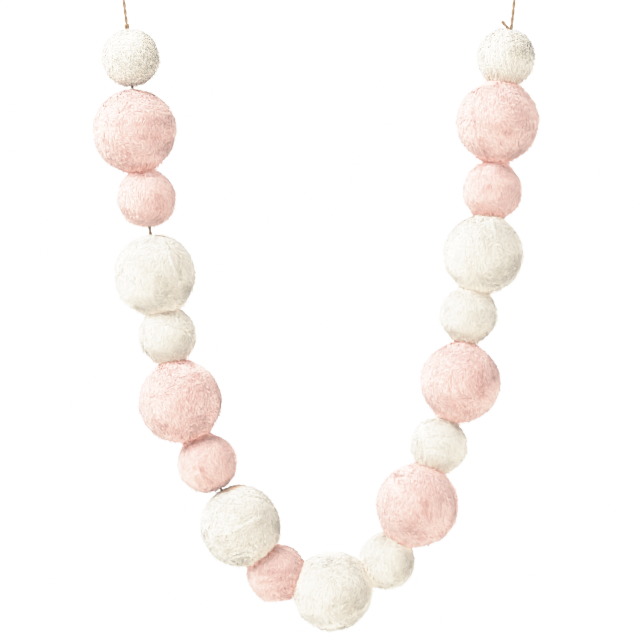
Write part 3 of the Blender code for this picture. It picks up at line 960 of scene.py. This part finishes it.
def add_knot(name, centre, half, lean, twine, material):
    """An overhand knot drawn tight: a trefoil of the same twine, wide across the view."""
    stages = 54
    turn = lean.to_track_quat("Z", "Y").to_matrix()
    wide = (half[0] - 1.25 * MM) / 2.6
    tall = (half[1] - 1.25 * MM) / 2.6
    centres = []
    for stage in range(stages + 1):
        t = math.tau * stage / stages
        bend = Vector(
            (
                (math.sin(t) + 2 * math.sin(2 * t)) * wide,
                -math.sin(3 * t) * 1.25 * MM,
                (math.cos(t) - 2 * math.cos(2 * t)) * tall,
            )
        )
        centres.append(centre + turn @ bend)
    bm = new_tube_mesh()
    outline = [(1.2 * MM * math.cos(a), 1.2 * MM * math.sin(a)) for a in np.arange(10) * math.tau / 10]
    sweep(bm, outline, stations_along(centres, 0.0))
    piece = finish_tube(name, bm, material)
    return piece


def add_twine_end(end, stop_knot, twine, pattern, material, rng):
    """The twine above an end ball, through its knots and round its hanging loop, as one free cord."""
    start = place(end.exit_across_mm, end.exit_drop_mm)
    knot_at = place(end.knot_across_mm, end.knot_drop_mm)
    lean = (knot_at - start).normalized()
    foot = knot_at + lean * (LOOP_KNOT_HALF[1] + KNOT_GAP)
    turn = lean.to_track_quat("Z", "Y").to_matrix()
    route = [start.lerp(knot_at, share) for share in (0.0, 0.2, 0.4, 0.6, 0.8)]
    route.append(knot_at)
    for index in range(LOOP_POINTS + 1):
        angle = math.tau * index / LOOP_POINTS
        across = LOOP_FOOT * math.cos(angle / 2) + LOOP_WIDTH / 2 * math.sin(angle) * math.sin(angle / 2)
        height = LOOP_HEIGHT * (1 - math.cos(angle)) / 2
        route.append(foot + Vector((across, 0.0, 0.0)) + turn @ Vector((0.0, 0.0, height)))
    route.append(knot_at - Vector((1.2 * MM, 0.0, 0.0)))
    centres = even_steps(route, 0.7 * MM)
    bm = new_tube_mesh()
    sweep(bm, ply_section(twine, 24), stations_along(centres, twine.pitch, 0.6))
    cord = finish_tube(f"twine_{end.name}_cord", bm, material)
    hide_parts(f"twine_{end.name}_end", f"twine_{end.name}_loop")
    knots = [add_knot(f"twine_{end.name}_loop_bend", knot_at, LOOP_KNOT_HALF, lean, twine, material)]
    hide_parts(f"twine_{end.name}_loop_knot")
    if stop_knot:
        stop_at = start + lean * (STOP_KNOT_HALF[1] + KNOT_GAP)
        knots.append(add_knot(f"twine_{end.name}_stop_bend", stop_at, STOP_KNOT_HALF, lean, twine, material))
        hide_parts(f"twine_{end.name}_stop_knot")
    fuzz = twine_fuzz(f"twine_{end.name}_fibres", pattern, centres, 0.5, material, rng)


def through_route():
    """The twine's way through the balls: straight in each needle hole, bending at the seats."""
    mouths = [place(LEFT_END.exit_across_mm, LEFT_END.exit_drop_mm)]
    for index, ball in enumerate(BALLS[:-1]):
        normal, distance = seats_of(index)[-1]
        mouths.append(place(*ball[2:5]) + Vector(normal) * distance)
    mouths.append(place(RIGHT_END.exit_across_mm, RIGHT_END.exit_drop_mm))
    route = [mouths[0]]
    for before, here, after in zip(mouths, mouths[1:], mouths[2:]):
        back = (before - here).normalized()
        ahead = (after - here).normalized()
        middle = here + (back + ahead) * BEND_REACH / 4
        route += [here + back * BEND_REACH, middle, here + ahead * BEND_REACH]
    route.append(mouths[-1])
    return route


def straight_steps(points, step):
    """Points at even steps along straight stretches."""
    run = np.concatenate([[0], np.cumsum([(b - a).length for a, b in zip(points, points[1:])])])
    at = np.linspace(0, run[-1], round(run[-1] / step) + 1)
    line = np.array(points)
    return [Vector(p) for p in np.stack([np.interp(at, run, line[:, k]) for k in range(3)], axis=1)]


class GARLAND_OT_stage(bpy.types.Operator):
    """Makes the camera, the soft studio light and the pale floor"""

    bl_idname = "garland.stage"
    bl_label = "Stage"

    def execute(self, context):
        scene, stage = context.scene, context.scene.garland_stage
        lens = bpy.data.cameras.new("view")
        lens.sensor_width = 36.0
        lens.lens = 36.0 * stage.camera_distance / VIEW_WIDTH
        lens.clip_end = 50.0
        camera = bpy.data.objects.new("view", lens)
        camera.location = VIEW_CENTRE - Vector((0.0, stage.camera_distance, 0.0))
        camera.rotation_euler = (math.pi / 2, 0.0, 0.0)
        scene.collection.objects.link(camera)
        scene.camera = camera
        self.add_light(scene, "key", stage.key_power, 1.5, Vector((-1.5, -1.3, 1.7)), "FFFFFF")
        self.add_light(scene, "fill", stage.fill_power, 1.6, Vector((1.6, -1.2, -1.0)), "FFDFC8")
        self.add_sky(scene, stage.sky_strength, stage.backdrop_strength)
        bm = bmesh.new()
        bmesh.ops.create_grid(bm, x_segments=4, y_segments=4, size=4.0)
        bmesh.ops.translate(bm, verts=bm.verts, vec=(VIEW_CENTRE.x, 0.5, -stage.floor_drop))
        mesh = bpy.data.meshes.new("floor")
        bm.to_mesh(mesh)
        bm.free()
        link_mesh("floor", mesh, floor_material())
        scene.view_settings.view_transform = "Standard"
        self.add_shoulder(scene.view_settings)
        # Light passes between pale strands many times before it is gone.
        scene.cycles.max_bounces = 16
        scene.cycles.diffuse_bounces = 12
        return {"FINISHED"}

    @staticmethod
    def add_light(scene, name, power, size, offset, hex_colour):
        light = bpy.data.lights.new(name, "AREA")
        light.shape = "DISK"
        light.size = size
        light.energy = power
        light.color = linear(hex_colour)
        lamp = bpy.data.objects.new(name, light)
        lamp.location = VIEW_CENTRE + offset
        lamp.rotation_euler = (-offset).to_track_quat("-Z", "Y").to_euler()
        scene.collection.objects.link(lamp)

    @staticmethod
    def add_shoulder(view):
        """Tone curve of a generously exposed photograph, in which the lit pile runs softly up to white."""
        view.use_curve_mapping = True
        mapping = view.curve_mapping
        mapping.clip_max_x = PAPER_LIGHT
        both = mapping.curves[3]
        both.points[-1].location = (PAPER_LIGHT, 1.0)
        for light, tone in SHOULDER:
            both.points.new(light, tone)
        mapping.update()

    @staticmethod
    def add_sky(scene, strength, backdrop):
        """White surroundings, brightest behind the garland, where the camera sees them as bare paper."""
        world = bpy.data.worlds.new("white studio")
        world.use_nodes = True
        tree = world.node_tree
        tree.nodes.clear()
        path = add_node(tree, "ShaderNodeLightPath")
        way = add_node(tree, "ShaderNodeTexCoord")
        axes = add_node(tree, "ShaderNodeSeparateXYZ", None, {"Vector": way.outputs["Generated"]})
        glow = add_node(
            tree,
            "ShaderNodeMapRange",
            {"interpolation_type": "SMOOTHSTEP"},
            {"Value": axes.outputs["Y"], "From Min": -0.5, "From Max": 0.5, "To Min": strength, "To Max": backdrop},
        )
        dim = add_node(
            tree, "ShaderNodeBackground", None, {"Color": (*linear("FBF8F2"), 1), "Strength": glow.outputs["Result"]}
        )
        paper = add_node(tree, "ShaderNodeBackground", None, {"Color": (1, 1, 1, 1), "Strength": PAPER_LIGHT})
        seen = add_node(
            tree,
            "ShaderNodeMixShader",
            None,
            {0: path.outputs["Is Camera Ray"], 1: dim.outputs[0], 2: paper.outputs[0]},
        )
        add_node(tree, "ShaderNodeOutputWorld", None, {"Surface": seen.outputs[0]})
        scene.world = world


class GARLAND_OT_twine(bpy.types.Operator):
    """Makes the jute twine: its ends with their knots and loops, the run through the balls and the cut tail"""

    bl_idname = "garland.twine"
    bl_label = "Twine"

    def execute(self, context):
        twine = context.scene.garland_twine
        material = twine_material(twine.light, twine.dark)
        fibre = strand_pattern(0.6)
        rng = np.random.default_rng(5)
        add_twine_end(LEFT_END, True, twine, fibre, material, rng)
        add_twine_end(RIGHT_END, False, twine, fibre, material, rng)
        self.add_run(twine, material)
        self.add_tail(twine, fibre, material, rng)
        return {"FINISHED"}

    @staticmethod
    def add_run(twine, material):
        bm = new_tube_mesh()
        centres = straight_steps(through_route(), 1.2 * MM)
        sweep(bm, ply_section(twine, 12), stations_along(centres, twine.pitch))
        piece = finish_tube("twine_run", bm, material)
        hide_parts("twine_through_balls")

    @staticmethod
    def add_tail(twine, fibre, material, rng):
        bm = new_tube_mesh()
        centres = even_steps([TAIL_ROOT, TAIL_ROOT.lerp(TAIL_TIP, 0.5), TAIL_TIP], 0.7 * MM)
        scales = [1.0] * len(centres)
        sweep(bm, ply_section(twine, 24), stations_along(centres, twine.pitch, 0.4), scales)
        piece = finish_tube("twine_cut_tail", bm, material)
        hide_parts("twine_tail")
        twine_fuzz("twine_tail_fibres", fibre, centres, 2.0, material, rng)


class GARLAND_OT_balls(bpy.types.Operator):
    """Covers every ball in short brushed faux fur"""

    bl_idname = "garland.balls"
    bl_label = "Fur balls"

    def execute(self, context):
        fur = context.scene.garland_fur
        materials = {
            "white": fur_material(
                "white polyester plush",
                fur.white_tip,
                fur.white_root,
                fur.white_painted_shade,
                fur.backing,
                fur.white_bloom,
                fur.white_painted_glow,
            ),
            "pink": fur_material(
                "pink polyester plush",
                fur.pink_tip,
                fur.pink_root,
                fur.pink_painted_shade,
                fur.backing,
                fur.pink_bloom,
                fur.pink_painted_glow,
            ),
        }
        pattern = strand_pattern(0.5)
        for index in range(len(BALLS)):
            dress_ball(index, pattern, fur, materials)
        return {"FINISHED"}


class GARLAND_PT_panel(bpy.types.Panel):
    """Lists the garland's makers and settings"""

    bl_idname = "GARLAND_PT_panel"
    bl_label = "Fur garland"
    bl_space_type = "VIEW_3D"
    bl_region_type = "UI"
    bl_category = "Garland"

    def draw(self, context):
        for operator, group in (
            (GARLAND_OT_stage, context.scene.garland_stage),
            (GARLAND_OT_twine, context.scene.garland_twine),
            (GARLAND_OT_balls, context.scene.garland_fur),
        ):
            box = self.layout.box()
            box.operator(operator.bl_idname)
            for name in group.__annotations__:
                box.prop(group, name)


CLASSES = (
    GarlandFurSettings,
    GarlandTwineSettings,
    GarlandStageSettings,
    GARLAND_OT_stage,
    GARLAND_OT_twine,
    GARLAND_OT_balls,
    GARLAND_PT_panel,
)


def register():
    for each in CLASSES:
        bpy.utils.register_class(each)
    bpy.types.Scene.garland_fur = bpy.props.PointerProperty(type=GarlandFurSettings)
    bpy.types.Scene.garland_twine = bpy.props.PointerProperty(type=GarlandTwineSettings)
    bpy.types.Scene.garland_stage = bpy.props.PointerProperty(type=GarlandStageSettings)


def unregister():
    del bpy.types.Scene.garland_stage
    del bpy.types.Scene.garland_twine
    del bpy.types.Scene.garland_fur
    for each in reversed(CLASSES):
        bpy.utils.unregister_class(each)


def main():
    register()
    bpy.ops.garland.stage()
    bpy.ops.garland.twine()
    bpy.ops.garland.balls()


if __name__ == "__main__":
    main()
